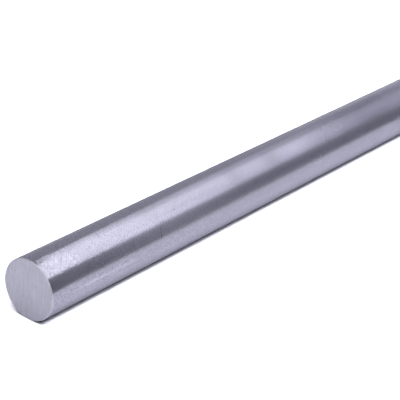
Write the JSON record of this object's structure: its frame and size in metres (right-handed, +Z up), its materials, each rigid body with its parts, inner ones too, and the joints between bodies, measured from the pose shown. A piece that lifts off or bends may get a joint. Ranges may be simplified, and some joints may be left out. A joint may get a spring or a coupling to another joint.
{
  "type": "silver steel rod",
  "caption": "Solid round rod of ground tool steel with square sawn ends, for turning into shafts, pins, punches and dowels.",
  "frame": {"origin": "on the floor under the middle of the rod, at the bottom centre of its bounding box", "axes": "+X along the rod, +Z up from the floor that the rod lies on"},
  "size_m": [0.333, 0.025, 0.025],
  "materials": {
    "silver_steel": "centreless ground, satin, with matte sawn ends"
  },
  "bodies": {
    "root": {"rod": "silver_steel"}
  },
  "joints": []
}
